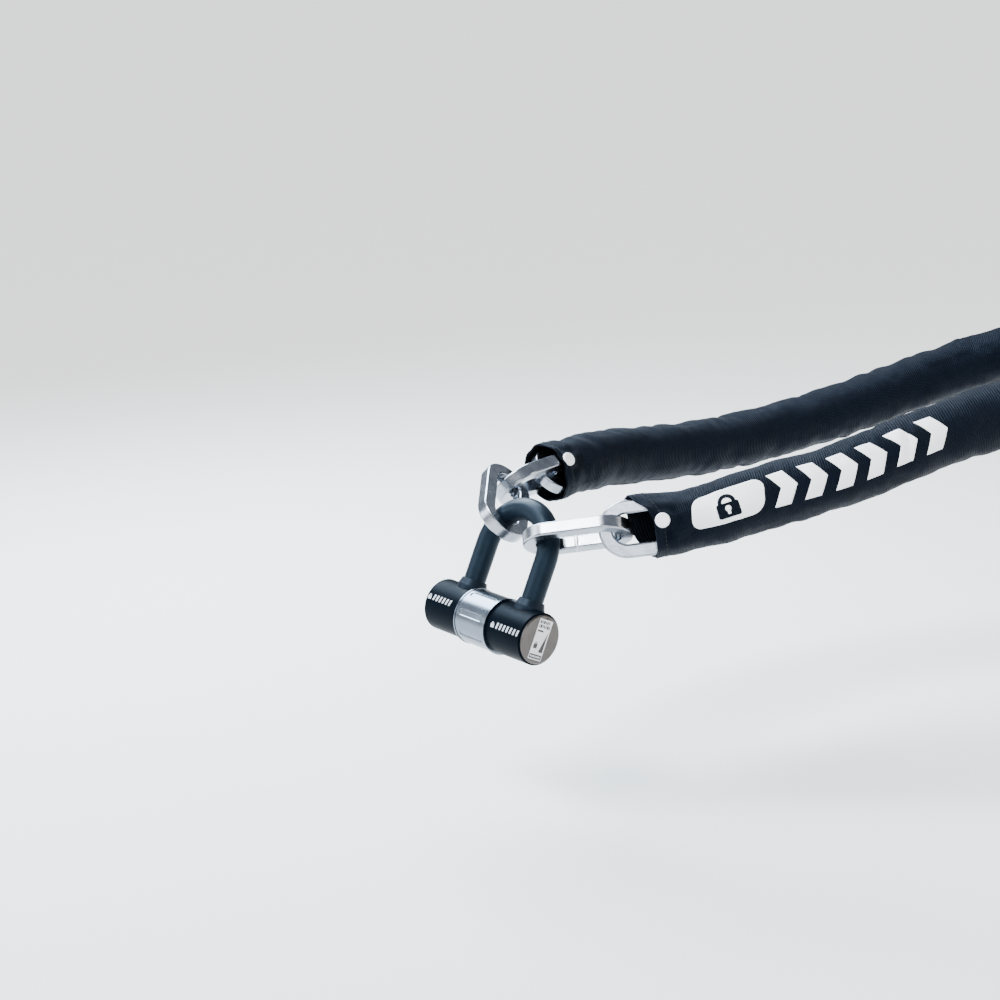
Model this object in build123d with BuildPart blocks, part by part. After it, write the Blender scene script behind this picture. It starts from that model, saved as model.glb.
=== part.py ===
from build123d import *
import math
import os

# Chain lock: a mini shackle lock closing a square-link chain in a fabric sleeve.
# Millimetres, +Z up, +X along the crossbar toward its labelled end. The origin is where the
# chain's far bight bears on whatever it is locked round.

# ---- crossbar (the lock body) ------------------------------------------------------------
LOCK_AT = (-188, -478, -177)  # crossbar centre
LEAN = 24.6  # the shackle leans back from the vertical by this angle
BODY_R = 18.25
BODY_L = 105.5
BODY_BORE = 15.2
FIT = 0.05  # radial clearance of the pieces fixed inside the shell
RUN = 0.1  # radial clearance of the pieces that move
DISC_R, DISC_T = 17.0, 3.0
PLUG_T = 3.9  # hardened plug behind each end disc
COVER_W, COVER_R, LIP_R, LIP_W = 32.5, 19.45, 19.9, 1.1
FLUTES, FLUTE_L, FLUTE_W, FLUTE_D, FLUTE_SLOPE = 8, 26.5, 6.0, 0.65, 50
COLLAR_TOP, COLLAR_NECK, COLLAR_SKIRT = 23.1, 8.8, 10.5

# ---- shackle -----------------------------------------------------------------------------
LEG_LEFT, LEG_RIGHT = -28.8, 33.0
LEG_R, COAT_R = 7.0, 7.8
BEND_H = 50.7  # centre of the bend above the crossbar's axis
LEG_END, COAT_END = -8.0, 19.6
BEND_R = (LEG_RIGHT - LEG_LEFT) / 2
BEND_X = (LEG_RIGHT + LEG_LEFT) / 2

# ---- lock works --------------------------------------------------------------------------
WORK_Z = 8.0  # height of the bolts above the crossbar's axis
BOLT_R, TRAVEL = 3.4, 5.66
CRANK_R, CRANK_PIN = 4.0, 1.4
HOUSING_R, BARREL_R, STACK_R = 8.6, 6.0, 4.2
BARREL_TOP, BARREL_FRONT, GUARD_T = 3.3, -11.3, 2.0
PORT_R = 6.5

# ---- chain and sleeve --------------------------------------------------------------------
BAR, BAR_CORNER = 9.5, 1.5
LINK_W = 39.5
END_LINK_L, LINK_L = 76.0, 64.2
SLACK = 3.7  # play between two links inside the sleeve
A2_DEEP, B2_DEEP = 9.3, 9.6  # from an end link's crown to the bar hooked in it, lying askew
SLEEVE_R, SLEEVE_BORE = 22.0, 21.2
RIVET_R, RIVET_H, RIVET_IN = 5.0, 1.8, 10.0
RIVET_FACE = (0.705, -0.584, 0.401)
FACE = (0.745, -0.617, 0.253)  # the way the second link faces
A1_AT, A1_TURN = 30, 31  # where each end link bears on the bend, and its swing off the plane
B1_AT, B1_TURN = 141, 27

# Sleeve's centreline, from the front mouth round the far bight to the rear mouth.
ROUTE = [
    (-111, -405, -106), (-91, -380, -102), (-61, -343, -85), (-24, -301, -69),
    (8, -259, -44), (82, -156, -5), (67, -24, 7), (-40, 59, -7), (-161, 34, -46),
    (-219, -75, -86), (-244, -153, -102), (-252, -218, -105), (-255, -274, -102),
    (-251, -330, -96), (-243, -385, -98.5),
]

os.makedirs("parts", exist_ok=True)

tilt = math.radians(LEAN)
LOCK = Plane(origin=LOCK_AT, x_dir=(1, 0, 0), z_dir=(0, math.sin(tilt), math.cos(tilt)))
ALONG = Plane.YZ  # sketches drawn across the crossbar
LEGS = (("left", -1, LEG_LEFT), ("right", 1, LEG_RIGHT))


def save(solid, name, where=None):
    placed = where.from_local_coords(solid) if where else solid
    placed.label = name
    export_step(placed, f"parts/{name}.step")
    return placed


def across(x):
    return ALONG.offset(x)


def level(z):
    return Plane.XY.offset(z)


# ---- shell, core and ends of the crossbar ------------------------------------------------
half = BODY_L / 2
disc_in = half - DISC_T
shell_end = half - 1.2

with BuildPart() as shell:
    with BuildSketch(across(-shell_end)):
        Circle(BODY_R)
        Circle(BODY_BORE, mode=Mode.SUBTRACT)
    extrude(amount=2 * shell_end)
    chamfer(shell.edges().filter_by(GeomType.CIRCLE).group_by(SortBy.RADIUS)[-1], 0.8)
    for side in (-1, 1):
        with BuildSketch(across(side * disc_in)):
            Circle(DISC_R + FIT)
        extrude(amount=side * DISC_T, mode=Mode.SUBTRACT)
        with BuildSketch(across(side * 12.5 - 0.9)):
            Circle(BODY_R + 1)
            Circle(BODY_R - 0.85, mode=Mode.SUBTRACT)
        extrude(amount=1.8, mode=Mode.SUBTRACT)
    for _, _, leg in LEGS:
        with BuildSketch(level(0)):
            with Locations((leg, 0)):
                Circle(COLLAR_NECK + RUN)
        extrude(amount=BODY_R + 1, mode=Mode.SUBTRACT)
    with BuildSketch(level(0)):
        Circle(PORT_R)
    extrude(amount=-BODY_R - 1, mode=Mode.SUBTRACT)
save(shell.part, "crossbar_shell", LOCK)

core_end = disc_in - PLUG_T
with BuildPart() as core:
    with BuildSketch(across(-core_end)):
        Circle(BODY_BORE - FIT)
    extrude(amount=2 * core_end)
    for _, side, leg in LEGS:
        with BuildSketch(level(LEG_END - 1)):
            with Locations((leg, 0)):
                Circle(LEG_R + RUN)
        extrude(amount=30, mode=Mode.SUBTRACT)
        with BuildSketch(across(side * 8.5)):
            with Locations((0, WORK_Z)):
                Circle(BOLT_R + RUN)
        extrude(amount=leg - side * 8.5, mode=Mode.SUBTRACT)
    with BuildSketch(level(5.8)):
        Rectangle(36.6, 15)
    extrude(amount=4, mode=Mode.SUBTRACT)
    with BuildSketch(level(BARREL_TOP - 0.1)):
        Circle(CRANK_R + CRANK_PIN + 1.1)
    extrude(amount=2.8, mode=Mode.SUBTRACT)
    with BuildSketch(level(BARREL_TOP)):
        Circle(HOUSING_R + FIT)
    extrude(amount=-20, mode=Mode.SUBTRACT)
save(core.part, "crossbar_core", LOCK)

for name, side, leg in LEGS:
    with BuildPart() as end_plug:
        with BuildSketch(across(side * core_end)):
            Circle(BODY_BORE - FIT)
        extrude(amount=side * PLUG_T)
    save(end_plug.part, f"end_plug_{name}", LOCK)

    with BuildPart() as disc:
        with BuildSketch(across(side * disc_in)):
            Circle(DISC_R)
        extrude(amount=side * DISC_T)
        rim = disc.edges().filter_by(GeomType.CIRCLE).sort_by(Axis.X)[-1 if side > 0 else 0]
        chamfer(rim, 0.8)
        with BuildSketch(across(side * half)):
            with Locations((0, 15.1)):
                Circle(0.6)
        extrude(amount=-side * 0.5, mode=Mode.SUBTRACT)
    save(disc.part, f"end_disc_{name}", LOCK)

    # Flared collar, cut to sit on the shell, with a neck down through the shell's hole.
    with BuildPart() as collar:
        with BuildSketch(Plane.XZ.move(Location((leg, 0, 0)))):
            Polygon(
                (0, 14.4), (COLLAR_SKIRT + 0.2, 14.4), (COLLAR_SKIRT, 18.4),
                (COLLAR_NECK + 0.1, COLLAR_TOP), (0, COLLAR_TOP), align=None,
            )
        revolve(axis=Axis((leg, 0, 0), (0, 0, 1)))
        with BuildSketch(across(leg - 15)):
            Circle(BODY_R + 0.02)
        extrude(amount=30, mode=Mode.SUBTRACT)
        with BuildSketch(level(15.6)):
            with Locations((leg, 0)):
                Circle(COLLAR_NECK)
        extrude(amount=3)
        with BuildSketch(level(15)):
            with Locations((leg, 0)):
                Circle(LEG_R + 0.2)
        extrude(amount=9, mode=Mode.SUBTRACT)
        with BuildSketch(level(COAT_END - 0.3)):
            with Locations((leg, 0)):
                Circle(COAT_R + RUN)
        extrude(amount=9, mode=Mode.SUBTRACT)
    save(collar.part, f"collar_{name}", LOCK)

    with BuildPart() as seal:
        with BuildSketch(across(side * 12.5 - 0.8)):
            Circle(BODY_R - FIT)
            Circle(BODY_R - 0.85, mode=Mode.SUBTRACT)
        extrude(amount=1.6)
    save(seal.part, f"seal_{name}", LOCK)

# Dust cover turning round the crossbar; its window faces the back while it is closed.
with BuildPart() as cover:
    with BuildSketch(across(-COVER_W / 2)):
        Circle(LIP_R)
        Circle(BODY_R + RUN, mode=Mode.SUBTRACT)
    extrude(amount=COVER_W)
    with BuildSketch(across(-COVER_W / 2 + LIP_W)):
        Circle(LIP_R + 1)
        Circle(COVER_R, mode=Mode.SUBTRACT)
    extrude(amount=COVER_W - 2 * LIP_W, mode=Mode.SUBTRACT)
    for i in range(1, FLUTES):
        turn = math.radians(i * 360 / FLUTES)
        out = (0, math.cos(turn), math.sin(turn))
        with BuildSketch(Plane(origin=(0, 0, 0), x_dir=(1, 0, 0), z_dir=out).offset(COVER_R + 0.4)):
            SlotOverall(FLUTE_L, FLUTE_W)
        extrude(amount=-0.4 - FLUTE_D, taper=FLUTE_SLOPE, mode=Mode.SUBTRACT)
    with BuildSketch(Plane(origin=(0, 0, 0), x_dir=(1, 0, 0), z_dir=(0, 1, 0))):
        Circle(PORT_R)
    extrude(amount=LIP_R + 1, mode=Mode.SUBTRACT)
save(cover.part, "dust_cover", LOCK)

# ---- key cylinder ------------------------------------------------------------------------
with BuildPart() as housing:
    with BuildSketch(across(-10)):
        Circle(BODY_BORE - 2 * FIT)
    extrude(amount=20)
    with BuildSketch(level(BARREL_TOP)):
        Circle(HOUSING_R)
    extrude(amount=-20, mode=Mode.INTERSECT)
    with BuildSketch(level(BARREL_TOP)):
        Circle(BARREL_R + FIT)
    extrude(amount=-20, mode=Mode.SUBTRACT)
save(housing.part, "cylinder_housing", LOCK)

with BuildPart() as barrel:
    with BuildSketch(level(BARREL_FRONT)):
        Circle(BARREL_R)
    extrude(amount=BARREL_TOP - BARREL_FRONT)
    with BuildSketch(level(BARREL_TOP)):
        Rectangle(4, 4)
    extrude(amount=2.1)
    with BuildSketch(level(BARREL_FRONT)):
        Circle(STACK_R + FIT)
    extrude(amount=10.3, mode=Mode.SUBTRACT)
    with BuildSketch(level(BARREL_FRONT)):
        with Locations((-BARREL_R + 0.7, 0)):
            Rectangle(1.6, 1.6)
    extrude(amount=10.3, mode=Mode.SUBTRACT)
save(barrel.part, "key_barrel", LOCK)

with BuildPart() as stack:
    with BuildSketch(level(BARREL_FRONT)):
        Circle(STACK_R)
    extrude(amount=10.3)
    for i in range(5):
        with BuildSketch(level(BARREL_FRONT + 1.5 + 1.8 * i)):
            Circle(STACK_R + 1)
            Circle(STACK_R - 0.6, mode=Mode.SUBTRACT)
        extrude(amount=0.4, mode=Mode.SUBTRACT)
    with BuildSketch(level(BARREL_FRONT)):
        Rectangle(2.2, 6.4)
    extrude(amount=9.5, mode=Mode.SUBTRACT)
save(stack.part, "disc_stack", LOCK)

with BuildPart() as sidebar:
    with BuildSketch(level(BARREL_FRONT)):
        with Locations((-BARREL_R + 0.75, 0)):
            Rectangle(1.3, 1.5)
    extrude(amount=10.2)
save(sidebar.part, "sidebar", LOCK)

with BuildPart() as guard:
    with BuildSketch(level(BARREL_FRONT)):
        Circle(BARREL_R)
        Rectangle(2.4, 6.8, mode=Mode.SUBTRACT)
    extrude(amount=-GUARD_T)
save(guard.part, "drill_guard", LOCK)

crank = CRANK_R * math.cos(math.radians(45))
with BuildPart() as cam:
    with BuildSketch(level(BARREL_TOP + 0.1)):
        Circle(CRANK_R + CRANK_PIN + 0.8)
        Rectangle(4.04, 4.04, mode=Mode.SUBTRACT)
    extrude(amount=2)
    with BuildSketch(level(BARREL_TOP + 2)):
        with Locations((crank, crank), (-crank, -crank)):
            Circle(CRANK_PIN)
    extrude(amount=4)
save(cam.part, "cam", LOCK)

# ---- bolts: round nose into the shackle, flat tail round its crank pin --------------------
for name, side, leg in LEGS:
    nose = leg - side * (LEG_R + RUN + 0.4)
    tail = -side * 6.4
    with BuildPart() as bolt:
        with BuildSketch(across(side * 9)):
            with Locations((0, WORK_Z)):
                Circle(BOLT_R)
        extrude(amount=nose - side * 9)
        chamfer(bolt.edges().filter_by(GeomType.CIRCLE).sort_by(Axis.X)[0 if side < 0 else -1], 0.6)
        with BuildSketch(level(6)):
            with Locations(((tail + side * 12) / 2, -side * 3.75)):
                Rectangle(18.4, 6.5)
        extrude(amount=3.6)
        with BuildSketch(level(5.5)):
            with Locations((-side * crank, -side * 2.9)):
                Rectangle(2 * CRANK_PIN + 0.5, 6)
        extrude(amount=5, mode=Mode.SUBTRACT)
    save(bolt.part, f"bolt_{name}", LOCK)

# ---- shackle -----------------------------------------------------------------------------


def u_bar(outer, inner, foot):
    """the U of the shackle as a round bar, hollow when it is the coating"""
    with BuildPart() as bar:
        with BuildLine(Plane.XZ) as path:
            Polyline((LEG_LEFT, foot), (LEG_LEFT, BEND_H))
            ThreePointArc((LEG_LEFT, BEND_H), (BEND_X, BEND_H + BEND_R), (LEG_RIGHT, BEND_H))
            Line((LEG_RIGHT, BEND_H), (LEG_RIGHT, foot))
        with BuildSketch(Plane(origin=(LEG_LEFT, 0, foot), x_dir=(1, 0, 0), z_dir=(0, 0, 1))):
            Circle(outer)
            if inner:
                Circle(inner, mode=Mode.SUBTRACT)
        sweep(path=path.wires()[0])
    return bar.part


with BuildPart() as shackle:
    add(u_bar(LEG_R, 0, LEG_END))
    chamfer(shackle.edges().filter_by(GeomType.CIRCLE).group_by(Axis.Z)[0], 1.2)
    for _, side, leg in LEGS:
        with BuildSketch(across(leg - side * (LEG_R + 1))):
            with Locations((0, WORK_Z)):
                Circle(BOLT_R + 0.4)
        extrude(amount=side * 6.7, mode=Mode.SUBTRACT)
save(shackle.part, "shackle_core", LOCK)
save(u_bar(COAT_R, LEG_R, COAT_END), "shackle_coating", LOCK)

# ---- chain -------------------------------------------------------------------------------


def chain_link(length):
    """racetrack of square bar lying in its own XY plane, long way along X"""
    straight, turn_r = (length - LINK_W) / 2, (LINK_W - BAR) / 2
    with BuildPart() as link:
        for side in (-1, 1):
            with BuildSketch(across(-straight)):
                with Locations((side * turn_r, 0)):
                    RectangleRounded(BAR, BAR, BAR_CORNER)
            extrude(amount=2 * straight)
            with BuildSketch(across(side * straight)):
                with Locations((turn_r, 0)):
                    RectangleRounded(BAR, BAR, BAR_CORNER)
            revolve(axis=Axis((side * straight, 0, 0), (0, 0, -side)), revolution_arc=180)
    return link.part


def end_link_plane(at, turn):
    """plane of the end link that bears on the bend at an angle round it"""
    at, turn = math.radians(at), math.radians(turn)
    out = LOCK.x_dir * math.cos(at) + LOCK.z_dir * math.sin(at)
    tangent = LOCK.z_dir * math.cos(at) - LOCK.x_dir * math.sin(at)
    pull = out * math.cos(turn) + LOCK.y_dir * math.sin(turn)
    touch = LOCK.origin + LOCK.x_dir * BEND_X + LOCK.z_dir * BEND_H + out * BEND_R
    reach = END_LINK_L / 2 - BAR - COAT_R - 0.5
    return Plane(origin=touch + pull * reach, x_dir=pull, z_dir=tangent)


def hooked(plane, deep, toward):
    """middle of the bar hooked in an end link, and the pivot of the link it belongs to"""
    bar = plane.origin + plane.x_dir * (END_LINK_L / 2 - BAR - deep)
    return bar, bar + (toward - bar).normalized() * (SLACK + BAR) / 2


end_link, link = chain_link(END_LINK_L), chain_link(LINK_L)
a1, b1 = end_link_plane(A1_AT, A1_TURN), end_link_plane(B1_AT, B1_TURN)
save(end_link, "link_a1", a1)
save(end_link, "link_b1", b1)

corners = [Vector(*p) for p in ROUTE]
runs = [q - p for p, q in zip(corners, corners[1:])]
radii = []
for before, after in zip(runs, runs[1:]):
    half_turn = math.radians(before.get_angle(after)) / 2
    radii.append(0.45 * min(before.length, after.length) / math.tan(half_turn))
print("sleeve route radii", [round(r) for r in radii])
with BuildLine() as route:
    FilletPolyline(*ROUTE, radius=radii)
wire = route.wires()[0]
print("sleeve route length", round(wire.length, 1))

with BuildPart() as sleeve:
    mouth = Plane(origin=wire @ 0, z_dir=wire % 0)
    with BuildSketch(mouth):
        Circle(SLEEVE_R)
        Circle(SLEEVE_BORE, mode=Mode.SUBTRACT)
    sweep(path=wire)


def unit_square_to(v, along):
    return (v - along * v.dot(along)).normalized()


# The links inside follow the sleeve's line. Each pivot is one pitch further along it.
a2_bar, first = hooked(a1, A2_DEEP, corners[1])
b2_bar, last = hooked(b1, B2_DEEP, corners[-2])
pitch = LINK_L - 2 * BAR - SLACK
start = first + (corners[1] - first).normalized() * pitch
goal = last + (corners[-2] - last).normalized() * pitch


def reach_from(point, distance, low):
    """how far along the line the spot at this distance from a point is"""
    high = min(low + 2.2 * distance, wire.length)
    for _ in range(30):
        middle = (low + high) / 2
        spot = wire.position_at(middle, position_mode=PositionMode.LENGTH)
        low, high = (middle, high) if (spot - point).length < distance else (low, middle)
    return low


def walk(step, count):
    """pivots inside the sleeve, and how far along the last one is"""
    spots, s = [start], 0.0
    for _ in range(count):
        s = reach_from(spots[-1], step, s)
        spots.append(wire.position_at(s, position_mode=PositionMode.LENGTH))
    return spots, s


# The play is shared out so that a whole number of links reaches the rear mouth.
goal_at = wire.length - (goal - corners[-1]).length
count = round((goal_at - (start - corners[0]).length) / pitch)
low, high = pitch - 1.5, pitch + 1.5
for _ in range(25):
    step = (low + high) / 2
    low, high = (step, high) if walk(step, count)[1] < goal_at else (low, step)
pivots = [first, *walk(step, count)[0][:-1], goal, last]
print("links in the sleeve", count, "play in each", round(LINK_L - 2 * BAR - step, 2))


def square_to(v, along):
    return (v - along * v.dot(along)).normalized()


def lay_links(twist):
    """planes of the links, each turned a quarter from the one before, and a little more"""
    planes, wide = [], None
    for i, (p, q) in enumerate(zip(pivots, pivots[1:])):
        along = (q - p).normalized()
        if wide is None:
            wide = along.cross(square_to(Vector(*FACE), along))
        else:
            wide = square_to(wide, along)
            quarter = math.radians(90 + twist)
            wide = wide * math.cos(quarter) + along.cross(wide) * math.sin(quarter)
        middle = (p + q) / 2
        if 1 < i < len(pivots) - 3:
            # Out from the chord toward the line, which bulges this far in a bend.
            middle += (p + q - pivots[i - 1] - pivots[i + 2]) / 16 * 0.6
        planes.append(Plane(origin=middle, x_dir=along, z_dir=along.cross(wide)))
    return planes


plain = lay_links(0)
wanted = square_to(b1.z_dir, plain[-1].x_dir)
off = math.degrees(math.atan2(plain[-1].z_dir.dot(wanted), plain[-1].y_dir.dot(wanted)))
off = (off + 90) % 180 - 90
links = lay_links(off / (len(plain) - 1))
print("twist over the whole chain", round(off, 1))
names = ["link_a2", *(f"link_{i:02d}" for i in range(1, len(links) - 1)), "link_b2"]
for name, plane in zip(names, links):
    save(link, name, plane)

for name, at in (("front", RIVET_IN), ("rear", wire.length - RIVET_IN)):
    spot = wire.position_at(at, position_mode=PositionMode.LENGTH)
    along = wire.tangent_at(at, position_mode=PositionMode.LENGTH)
    seat = Plane(origin=spot, x_dir=along, z_dir=square_to(Vector(*RIVET_FACE), along))
    with BuildPart() as rivet:
        with BuildSketch(level(SLEEVE_R - 1)):
            Circle(RIVET_R)
        extrude(amount=RIVET_H + 1)
        fillet(rivet.faces().sort_by(Axis.Z)[-1].edges(), RIVET_H * 0.6)
        with BuildSketch(across(-10)):
            Circle(SLEEVE_R + 0.3)
        extrude(amount=20, mode=Mode.SUBTRACT)
    save(rivet.part, f"sleeve_rivet_{name}", seat)
save(sleeve.part, "sleeve")

print("end links turn about", [round(c, 2) for c in a2_bar], [round(c, 2) for c in b2_bar])
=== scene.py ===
import math
import bpy
import bmesh
import numpy as np
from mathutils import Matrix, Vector, noise


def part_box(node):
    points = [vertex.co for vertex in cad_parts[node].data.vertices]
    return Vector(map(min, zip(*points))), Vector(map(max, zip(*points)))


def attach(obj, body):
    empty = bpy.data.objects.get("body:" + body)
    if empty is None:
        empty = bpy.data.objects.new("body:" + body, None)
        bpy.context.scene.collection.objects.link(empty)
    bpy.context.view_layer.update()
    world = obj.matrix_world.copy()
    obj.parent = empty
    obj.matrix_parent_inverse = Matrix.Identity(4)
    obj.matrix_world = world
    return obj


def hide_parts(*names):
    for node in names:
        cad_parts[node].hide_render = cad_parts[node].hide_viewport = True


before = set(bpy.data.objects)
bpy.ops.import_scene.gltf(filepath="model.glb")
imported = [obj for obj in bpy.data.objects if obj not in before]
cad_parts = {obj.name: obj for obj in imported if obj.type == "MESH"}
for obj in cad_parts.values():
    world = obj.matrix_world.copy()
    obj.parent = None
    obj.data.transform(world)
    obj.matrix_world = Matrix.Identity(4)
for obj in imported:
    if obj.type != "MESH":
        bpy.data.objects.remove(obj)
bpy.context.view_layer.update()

# ---------------------------------------------------------------- camera
FACE = Vector((0.7449, -0.6174, 0.2527)).normalized()  # from the lock towards the camera
CAMERA_AT = (0.8428, -1.3238, 0.2576)
LENS, SENSOR = 73.08, 36  # millimetres

camera = bpy.data.objects.new("camera", bpy.data.cameras.new("camera"))
bpy.context.scene.collection.objects.link(camera)
camera.location = CAMERA_AT
camera.rotation_mode = "QUATERNION"
camera.rotation_quaternion = (-FACE).to_track_quat("-Z", "Y")
camera.data.lens = LENS
camera.data.sensor_width = SENSOR
camera.data.clip_start, camera.data.clip_end = 0.05, 120
bpy.context.scene.camera = camera

# ---------------------------------------------------------------- the line of the sleeve
ROUTE = [
    (-0.111, -0.405, -0.106), (-0.091, -0.380, -0.102), (-0.061, -0.343, -0.085),
    (-0.024, -0.301, -0.069), (0.008, -0.259, -0.044), (0.082, -0.156, -0.005),
    (0.067, -0.024, 0.007), (-0.040, 0.059, -0.007), (-0.161, 0.034, -0.046),
    (-0.219, -0.075, -0.086), (-0.244, -0.153, -0.102), (-0.252, -0.218, -0.105),
    (-0.255, -0.274, -0.102), (-0.251, -0.330, -0.096), (-0.243, -0.385, -0.0985),
]
SLEEVE_R = 0.0220


def nurbs_points(route):
    """The points of the NURBS line whose control points are the route."""
    curve = bpy.data.curves.new("line", "CURVE")
    curve.dimensions = "3D"
    spline = curve.splines.new("NURBS")
    spline.points.add(len(route) - 1)
    for point, at in zip(spline.points, route):
        point.co = (*at, 1)
    spline.order_u = 3
    spline.use_endpoint_u = True
    spline.resolution_u = 40
    holder = bpy.data.objects.new("line", curve)
    bpy.context.scene.collection.objects.link(holder)
    mesh = bpy.data.meshes.new_from_object(holder)
    points = [v.co.copy() for v in mesh.vertices]
    bpy.data.meshes.remove(mesh)
    bpy.data.objects.remove(holder)
    bpy.data.curves.remove(curve)
    return points


PATH = nurbs_points(ROUTE)
if (PATH[0] - Vector(ROUTE[0])).length > (PATH[-1] - Vector(ROUTE[0])).length:
    PATH.reverse()
LINE = np.array([tuple(p) for p in PATH])
ALONG = np.concatenate([[0], np.cumsum(np.linalg.norm(np.diff(LINE, axis=0), axis=1))])
LENGTH = float(ALONG[-1])

TANGENT = np.gradient(LINE, ALONG, axis=0)
TANGENT /= np.linalg.norm(TANGENT, axis=1)[:, None]
# the direction to the camera, carried along the line without twist
normals = [np.array(FACE) - TANGENT[0] * float(np.array(FACE) @ TANGENT[0])]
for t in TANGENT[1:]:
    n = normals[-1] - t * float(normals[-1] @ t)
    normals.append(n / np.linalg.norm(n))
NORMAL = np.array(normals)
NORMAL /= np.linalg.norm(NORMAL, axis=1)[:, None]


def on_line(s):
    """Centre, tangent, face normal and upward normal of the sleeve at lengths s, straight beyond its ends."""
    inside = np.clip(s, 0, LENGTH)
    c = np.stack([np.interp(inside, ALONG, LINE[:, k]) for k in range(3)], -1)
    t = np.stack([np.interp(inside, ALONG, TANGENT[:, k]) for k in range(3)], -1)
    n = np.stack([np.interp(inside, ALONG, NORMAL[:, k]) for k in range(3)], -1)
    t /= np.linalg.norm(t, axis=-1)[..., None]
    n -= t * np.sum(n * t, -1)[..., None]
    n /= np.linalg.norm(n, axis=-1)[..., None]
    return c + t * (s - inside)[..., None], t, n, np.cross(n, t)


PITCH = 0.0415  # from one link inside the sleeve to the next
CREASES_A_LINK = 4


def draw_creases():
    """Each crease's length, angle, spread round the sleeve, slant, width and depth."""
    draws = np.random.default_rng(7)
    creases = []
    for k in range(int(LENGTH / PITCH) + 1):
        for _ in range(CREASES_A_LINK):
            creases.append((
                k * PITCH + draws.uniform(0, PITCH), draws.uniform(-math.pi, math.pi),
                draws.uniform(0.5, 1.25), draws.uniform(-0.008, 0.008),
                draws.uniform(0.0018, 0.0045), draws.uniform(0.3, 1.0),
            ))
    return creases


CREASES = draw_creases()


def wrapped(angle):
    """The same angle, between minus pi and pi."""
    return (angle + math.pi) % (2 * math.pi) - math.pi


def looseness(s):
    """How slack the cloth is: taut near the lock, baggier round the back."""
    return 0.8 + 0.7 * np.clip((s - 0.25) / 0.3, 0, 1)


def facing(s, way=FACE):
    """The angle round the sleeve that faces the camera, or another way, at length s."""
    _, _, n, up = on_line(np.array([s]))
    return math.atan2(float(up[0] @ np.array(way)), float(n[0] @ np.array(way)))


# the links inside, as a grid of rows along the sleeve and columns round it
LINK_ROWS, LINK_TURNS = 576, 72
LONG_EDGE = 0.0025  # edges longer than this get points along them
LINE_NEAR = 90  # points of the line on each side of a link's middle that may be nearest to it
PAST_END = 0.002
LINK_CLEAR = 0.0013  # from a link to the outside of the cloth over it


def blurred(grid, rows, turns):
    """A grid of length and angle, smoothed; the angles go round."""
    for axis, width in ((0, rows), (1, turns)):
        reach = int(3 * width) + 1
        weights = np.exp(-0.5 * (np.arange(-reach, reach + 1) / width) ** 2)
        weights /= weights.sum()
        mode = "edge" if axis == 0 else "wrap"
        pad = [(reach, reach), (0, 0)] if axis == 0 else [(0, 0), (reach, reach)]
        wide = np.pad(grid, pad, mode=mode)
        grid = np.apply_along_axis(lambda v: np.convolve(v, weights, "valid"), axis, wide)
    return grid


def link_reach():
    """How far out from the sleeve's line the links inside reach, over its length and round it."""
    grid = np.zeros((LINK_ROWS, LINK_TURNS))
    for name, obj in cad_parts.items():
        if not name.startswith("link_") or name in ("link_a1", "link_b1"):
            continue
        co = np.empty(len(obj.data.vertices) * 3)
        obj.data.vertices.foreach_get("co", co)
        co = co.reshape(-1, 3)
        ends = np.empty(len(obj.data.edges) * 2, np.int32)
        obj.data.edges.foreach_get("vertices", ends)
        p, q = co[ends[::2]], co[ends[1::2]]
        far = np.linalg.norm(q - p, axis=1) > LONG_EDGE
        p, q = p[far], q[far]
        between = [p + (q - p) * t for t in np.linspace(0.08, 0.92, 12)]
        spots = np.concatenate([co, *between])
        home = int(np.argmin(np.linalg.norm(LINE - co.mean(0), axis=1)))
        low, high = max(home - LINE_NEAR, 0), min(home + LINE_NEAR, len(LINE))
        gaps = np.linalg.norm(spots[:, None] - LINE[None, low:high:2], axis=2)
        s = ALONG[low:high:2][np.argmin(gaps, axis=1)]
        c, t, n, up = on_line(s)
        off = spots - c
        forward = np.sum(off * t, 1)
        s, off = s + forward, off - t * forward[:, None]
        angle = np.arctan2(np.sum(off * up, 1), np.sum(off * n, 1))
        inside = (s > -PAST_END) & (s < LENGTH + PAST_END)
        row = np.clip((s / LENGTH * (LINK_ROWS - 1)).round().astype(int), 0, LINK_ROWS - 1)
        turn = ((angle + math.pi) / (2 * math.pi) * LINK_TURNS).astype(int) % LINK_TURNS
        np.maximum.at(grid, (row[inside], turn[inside]), np.linalg.norm(off, axis=1)[inside])
    for axis, steps in ((0, 3), (1, 2)):
        for _ in range(steps):
            grid = np.maximum(grid, np.maximum(np.roll(grid, 1, axis), np.roll(grid, -1, axis)))
    return blurred(grid, 2.0, 1.4)


LINK_REACH = link_reach()


def over_links(s, a):
    """The radius that just clears the links inside, at lengths s and angles a."""
    row = np.clip(s / LENGTH, 0, 1) * (LINK_ROWS - 1)
    turn = (a + math.pi) / (2 * math.pi) * LINK_TURNS - 0.5
    i, j = np.floor(row).astype(int), np.floor(turn).astype(int)
    x, y = row - i, turn - j
    i2, j, j2 = np.minimum(i + 1, LINK_ROWS - 1), j % LINK_TURNS, (j + 1) % LINK_TURNS
    top = LINK_REACH[i, j] * (1 - y) + LINK_REACH[i, j2] * y
    low = LINK_REACH[i2, j] * (1 - y) + LINK_REACH[i2, j2] * y
    return top * (1 - x) + low * x + LINK_CLEAR


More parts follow.
